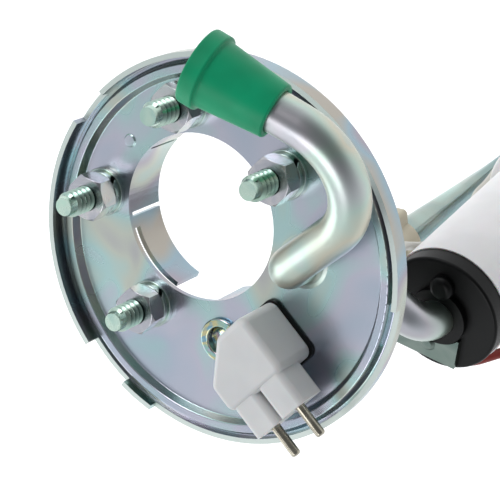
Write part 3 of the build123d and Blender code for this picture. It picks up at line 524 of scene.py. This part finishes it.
# White nylon: a clean white with a soft sheen that lets a little light in.
carrier_nylon = moulded_plastic(
    "white_nylon", "#e9e6e7", "#e1dfe0", roughness=0.42, grain_mm=0.5, glow=0.15)
skin_of("rubber_end_cap", "rubber_cap", gasket_rubber, edge_mm=0.4)
sleeve = skin_of("pump_carrier", "carrier_sleeve", carrier_nylon, edge_mm=0.4)
for corner in sleeve.data.vertices:
    if SHOULDER_LOW_MM * MM < (corner.co - PUMP_TOP).dot(PUMP_UP) < SHOULDER_TOP_MM * MM:
        corner.co -= PUMP_UP * NECK_GOES_ON_MM * MM
skin_of("lower_isolator", "isolator_ring", gasket_rubber, edge_mm=0.2)


# Strainer
# A moulded nylon cage on the pump's inlet, with a band of woven nylon gauze inside its bars.
# The gauze's mesh is drawn coarser than the real 0.1 mm so that it shows.
STRAINER_R_MM = 18.0
WEAVE_MM = 0.9
# at this scale a wave texture has one band to each unit of the weave's map
ONE_BAND = 0.314
GAP_COLOUR = "#5b5a57"
GAP_TO = 0.45
THREAD_COLOUR = "#d9d6cd"
THREAD_FROM = 0.8
THREAD_HEIGHT_MM = 0.2
# Woven nylon: pale round threads over dark gaps, dull all over.
woven_nylon, weave_tree, weave_shader = new_material("woven_nylon_gauze")
threads = add_node(weave_tree, "ShaderNodeUVMap", uv_map="weave").outputs["UV"]
warp = add_node(weave_tree, "ShaderNodeTexWave", {"Vector": threads, "Scale": ONE_BAND}, bands_direction="X")
weft = add_node(weave_tree, "ShaderNodeTexWave", {"Vector": threads, "Scale": ONE_BAND}, bands_direction="Y")
thread = add_node(weave_tree, "ShaderNodeMath", {
    0: warp.outputs["Fac"], 1: weft.outputs["Fac"]}, operation="MAXIMUM").outputs["Value"]
gauze = add_node(weave_tree, "ShaderNodeValToRGB", {"Fac": thread}, [
    (GAP_TO, GAP_COLOUR), (THREAD_FROM, THREAD_COLOUR)])
weave_tree.links.new(gauze.outputs["Color"], weave_shader.inputs["Base Color"])
raised = add_node(weave_tree, "ShaderNodeBump", {
    "Height": thread, "Strength": 0.6, "Distance": THREAD_HEIGHT_MM * MM})
weave_tree.links.new(raised.outputs["Normal"], weave_shader.inputs["Normal"])
weave_shader.inputs["Roughness"].default_value = 0.6
skin_of("strainer_frame", "strainer_cage", carrier_nylon, edge_mm=0.4)
cloth = skin_of("strainer_cloth", "strainer_mesh", woven_nylon)
across = PUMP_UP.orthogonal().normalized()
along = PUMP_UP.cross(across)
weave_map = cloth.data.uv_layers.new(name="weave")
for face in cloth.data.polygons:
    places = [cloth.data.vertices[i].co - PUMP_TOP for i in face.vertices]
    turns = [math.atan2(place.dot(along), place.dot(across)) for place in places]
    turns = [turn + math.tau if turn < max(turns) - math.pi else turn for turn in turns]
    for loop, place, turn in zip(face.loop_indices, places, turns):
        weave_map.data[loop].uv = (turn * STRAINER_R_MM / WEAVE_MM, place.dot(PUMP_UP) / MM / WEAVE_MM)


# Clip and leads
# A nylon clip snapped on the stay tube, and two PVC insulated leads from the connector to the pump.
# Both leads are drawn in to the sleeve's neck, and the pale one is turned a little towards its far side.
FAR_SIDE = Vector((-0.5726, 0.1433, -0.8073))
TURNED_DEGREES = 20.0
DRAWN_IN_MM = 3.4
# heights from the pump's top where each begins, is full, starts to go back and ends
TURNED_AT_MM = (-8.0, -40.0, -75.0, -108.0)
DRAWN_AT_MM = (-22.0, -34.0, -58.0, -73.0)
CUT_EVERY_MM = 2.0


def eased(height, start, full, leave, end):
    # rises from nought at start to one at full, and falls again from leave to end
    share = max(0.0, min(1.0, (start - height) / (start - full), (height - end) / (leave - end)))
    return share * share * (3 - 2 * share)


def lay_lead(piece, degrees_round):
    # cuts a lead into short lengths, draws it in to the neck and turns it round the pump's axis
    shape = bmesh.new()
    shape.from_mesh(piece.data)
    first, last = TURNED_AT_MM[0], TURNED_AT_MM[-1]
    for step in range(int((first - last) / CUT_EVERY_MM) + 1):
        level = PUMP_TOP + PUMP_UP * (first - step * CUT_EVERY_MM) * MM
        everything = shape.verts[:] + shape.edges[:] + shape.faces[:]
        bmesh.ops.bisect_plane(shape, geom=everything, plane_co=level, plane_no=PUMP_UP)
    for corner in shape.verts:
        height = (corner.co - PUMP_TOP).dot(PUMP_UP) / MM
        out = corner.co - PUMP_TOP - PUMP_UP * height * MM
        side = 1.0 if out.cross(FAR_SIDE).dot(PUMP_UP) > 0 else -1.0
        degrees = side * degrees_round * eased(height, *TURNED_AT_MM)
        draw = DRAWN_IN_MM * MM * eased(height, *DRAWN_AT_MM)
        laid = Matrix.Rotation(math.radians(degrees), 3, PUMP_UP) @ (out - out.normalized() * draw)
        corner.co += laid - out
    shape.to_mesh(piece.data)
    shape.free()
    finish_mesh(piece)


# Beige nylon: an even, slightly yellowed moulding.
clip_nylon = moulded_plastic("beige_nylon", "#cbc3ae", "#c2b9a3", roughness=0.45, grain_mm=0.5)
# Extruded PVC insulation: a smooth, half-gloss skin, dark red on one lead and a pale grey on the other.
red_pvc = moulded_plastic("red_insulation", "#8a2f28", "#7b2922", roughness=0.40, grain_mm=0.4)
pale_pvc = moulded_plastic("pale_insulation", "#c9c6be", "#bfbcb4", roughness=0.40, grain_mm=0.4)
skin_of("wire_clip", "tube_clip", clip_nylon, edge_mm=0.4)
lay_lead(skin_of("red_lead", "red_wire", red_pvc), 0.0)
lay_lead(skin_of("pale_lead", "pale_wire", pale_pvc), TURNED_DEGREES)


# Inside the pump
# A rolled steel casing with acetal covers, closed in by the sleeve, that holds the motor and the valves.
# The shaft turns in brass bearings, and four small springs press the two valves and the two brushes.
BRASS_FILM = ("#c9a860", "#bf9d55", "#cfb06c", "#c4a45c")
COPPER_FILM = ("#b06a3c", "#a56036", "#ba7444", "#ac663a")
CORE_FILM = ("#6b6d70", "#626467", "#747679", "#686a6d")
PRESSED_BY = {
    "check_spring": "check_valve_lift", "relief_spring": "relief_valve_lift",
    "brush_spring_a": "brush_a_slide", "brush_spring_b": "brush_b_slide"}
# Rolled and ground steel: a clean grey mirror, a little blurred.
casing_steel = filmed_metal("rolled_steel_casing", TUBE_FILM, patch_mm=20.0, wave_mm=40.0, roughness=0.3)
# Black acetal: a dense moulding with a slick half gloss.
acetal = moulded_plastic("black_acetal", "#232326", "#1b1b1e", roughness=0.40, grain_mm=0.4)
# Machined brass: warm yellow, fairly clear.
brass = filmed_metal(
    "machined_brass", BRASS_FILM, patch_mm=8.0, wave_mm=12.0, roughness=0.28, slope_shift=0.1)
# Enamelled copper: red brown, blurred by its lacquer.
copper = filmed_metal(
    "enamelled_copper", COPPER_FILM, patch_mm=4.0, wave_mm=6.0, roughness=0.34, slope_shift=0.1)
# Stacked laminations: dark, dull steel.
core_steel = filmed_metal(
    "laminated_core", CORE_FILM, patch_mm=4.0, wave_mm=6.0, roughness=0.42, slope_shift=0.1)
# Ground ferrite and pressed carbon: charcoal greys with hardly any gloss.
ferrite = moulded_plastic("ground_ferrite", "#3a3a3c", "#323234", roughness=0.55, grain_mm=0.5)
carbon = moulded_plastic("pressed_carbon", "#242424", "#1c1c1c", roughness=0.60, grain_mm=0.4)
# each material, how far its sharp edges are broken in millimetres, and the nodes made of it
INNER_PIECES = (
    (casing_steel, 0.0, ("pump_casing", "motor_shaft", "relief_ball", *PRESSED_BY)),
    (acetal, 0.15, ("outlet_cover", "check_valve", "brush_card", "stage_plate", "impeller", "inlet_cover")),
    (brass, 0.1, (
        "valve_guide", "relief_plug", "supply_tab", "ground_tab", "upper_bearing", "lower_bearing")),
    (copper, 0.1, ("commutator", "armature_windings")),
    (core_steel, 0.1, ("armature_core",)),
    (ferrite, 0.2, ("magnets",)),
    (carbon, 0.1, ("brush_a", "brush_b")),
)
for material, edge_mm, nodes in INNER_PIECES:
    for node in nodes:
        skin_of(node, node + "_skin", material, edge_mm, pressed_by=PRESSED_BY.get(node))


# Studio
# A sheet of white paper just under the module's lowest point, and walls that darken on the camera's side.
# Four lit panels give soft highlights on the plating, and a long lens looks down on the plate.
FLOOR_GAP_MM = 2.0
FLOOR_HALF_M = 6.0
PAPER_GLOW = 0.3
WALL_COLOUR = "#eef3f6"
WALL_BRIGHT = 1.0
WALL_DARK = 0.2
DARK_SIDE = (0.57, -0.14, 0.81)
DARK_FROM = 0.1
DARK_BY = 0.95
LENS_MM = 129.6
SENSOR_MM = 36.0
CLIP_NEAR_M = 0.01
CLIP_FAR_M = 50.0
CAMERA_PLACE_MM = (312.1, -93.9, 429.4)
CAMERA_RIGHT = (0.5972, -0.6017, -0.5304)
CAMERA_UP = (0.5617, 0.7858, -0.2590)
CAMERA_BACK = (0.5726, -0.1433, 0.8073)

floor_z = cad_box[0].z - FLOOR_GAP_MM * MM
quarters = ((-1, -1), (1, -1), (1, 1), (-1, 1))
floor_mesh = bpy.data.meshes.new("floor")
floor_mesh.from_pydata(
    [(x * FLOOR_HALF_M, y * FLOOR_HALF_M, floor_z) for x, y in quarters], [], [(0, 1, 2, 3)])
floor = bpy.data.objects.new("floor", floor_mesh)
bpy.context.scene.collection.objects.link(floor)
# White paper: dull and even, with a little light of its own so that it stays near white.
paper, _, paper_shader = new_material("white_paper")
paper_shader.inputs["Base Color"].default_value = linear("#fbfbfb")
paper_shader.inputs["Roughness"].default_value = 0.9
paper_shader.inputs["Emission Color"].default_value = linear("#ffffff")
paper_shader.inputs["Emission Strength"].default_value = PAPER_GLOW
floor_mesh.materials.append(paper)

world = bpy.data.worlds.new("studio")
bpy.context.scene.world = world
world.use_nodes = True
studio = world.node_tree
towards = add_node(studio, "ShaderNodeTexCoord").outputs["Generated"]
off_dark_side = add_node(studio, "ShaderNodeVectorMath", {0: towards, 1: DARK_SIDE}, operation="DOT_PRODUCT")
wall = add_node(studio, "ShaderNodeMapRange", {
    "Value": off_dark_side.outputs["Value"], "From Min": DARK_FROM, "From Max": DARK_BY,
    "To Min": WALL_BRIGHT, "To Max": WALL_DARK}, interpolation_type="SMOOTHSTEP")
background = studio.nodes["Background"]
background.inputs["Color"].default_value = linear(WALL_COLOUR)
studio.links.new(wall.outputs["Result"], background.inputs["Strength"])


def soft_light(name, place_mm, aim_mm, size_mm, brightness):
    # a lit panel, its power set so that its face has the given brightness
    light = bpy.data.lights.new(name, "AREA")
    light.shape = "RECTANGLE"
    light.size = size_mm[0] * MM
    light.size_y = size_mm[1] * MM
    light.energy = brightness * math.pi * light.size * light.size_y
    lamp = bpy.data.objects.new(name, light)
    lamp.location = Vector(place_mm) * MM
    lamp.rotation_mode = "QUATERNION"
    lamp.rotation_quaternion = (Vector(aim_mm) - Vector(place_mm)).to_track_quat("-Z", "Y")
    bpy.context.scene.collection.objects.link(lamp)


soft_light(
    "top_softbox", place_mm=(-330, -330, 800), aim_mm=(30, -30, 0), size_mm=(520, 520), brightness=2.6)
soft_light(
    "left_softbox", place_mm=(-800, 200, 260), aim_mm=(0, 0, 0), size_mm=(500, 700), brightness=1.8)
soft_light(
    "right_softbox", place_mm=(420, 700, 420), aim_mm=(40, 0, 0), size_mm=(420, 700), brightness=2.6)
soft_light(
    "front_softbox", place_mm=(260, 560, 760), aim_mm=(20, -20, 0), size_mm=(260, 260), brightness=7.0)

camera_data = bpy.data.cameras.new("camera")
camera_data.lens = LENS_MM
camera_data.sensor_width = SENSOR_MM
camera_data.clip_start = CLIP_NEAR_M
camera_data.clip_end = CLIP_FAR_M
camera = bpy.data.objects.new("camera", camera_data)
camera_turn = Matrix((CAMERA_RIGHT, CAMERA_UP, CAMERA_BACK)).transposed()
camera.matrix_world = Matrix.Translation(Vector(CAMERA_PLACE_MM) * MM) @ camera_turn.to_4x4()
bpy.context.scene.collection.objects.link(camera)
bpy.context.scene.camera = camera
bpy.context.scene.view_settings.view_transform = "Standard"
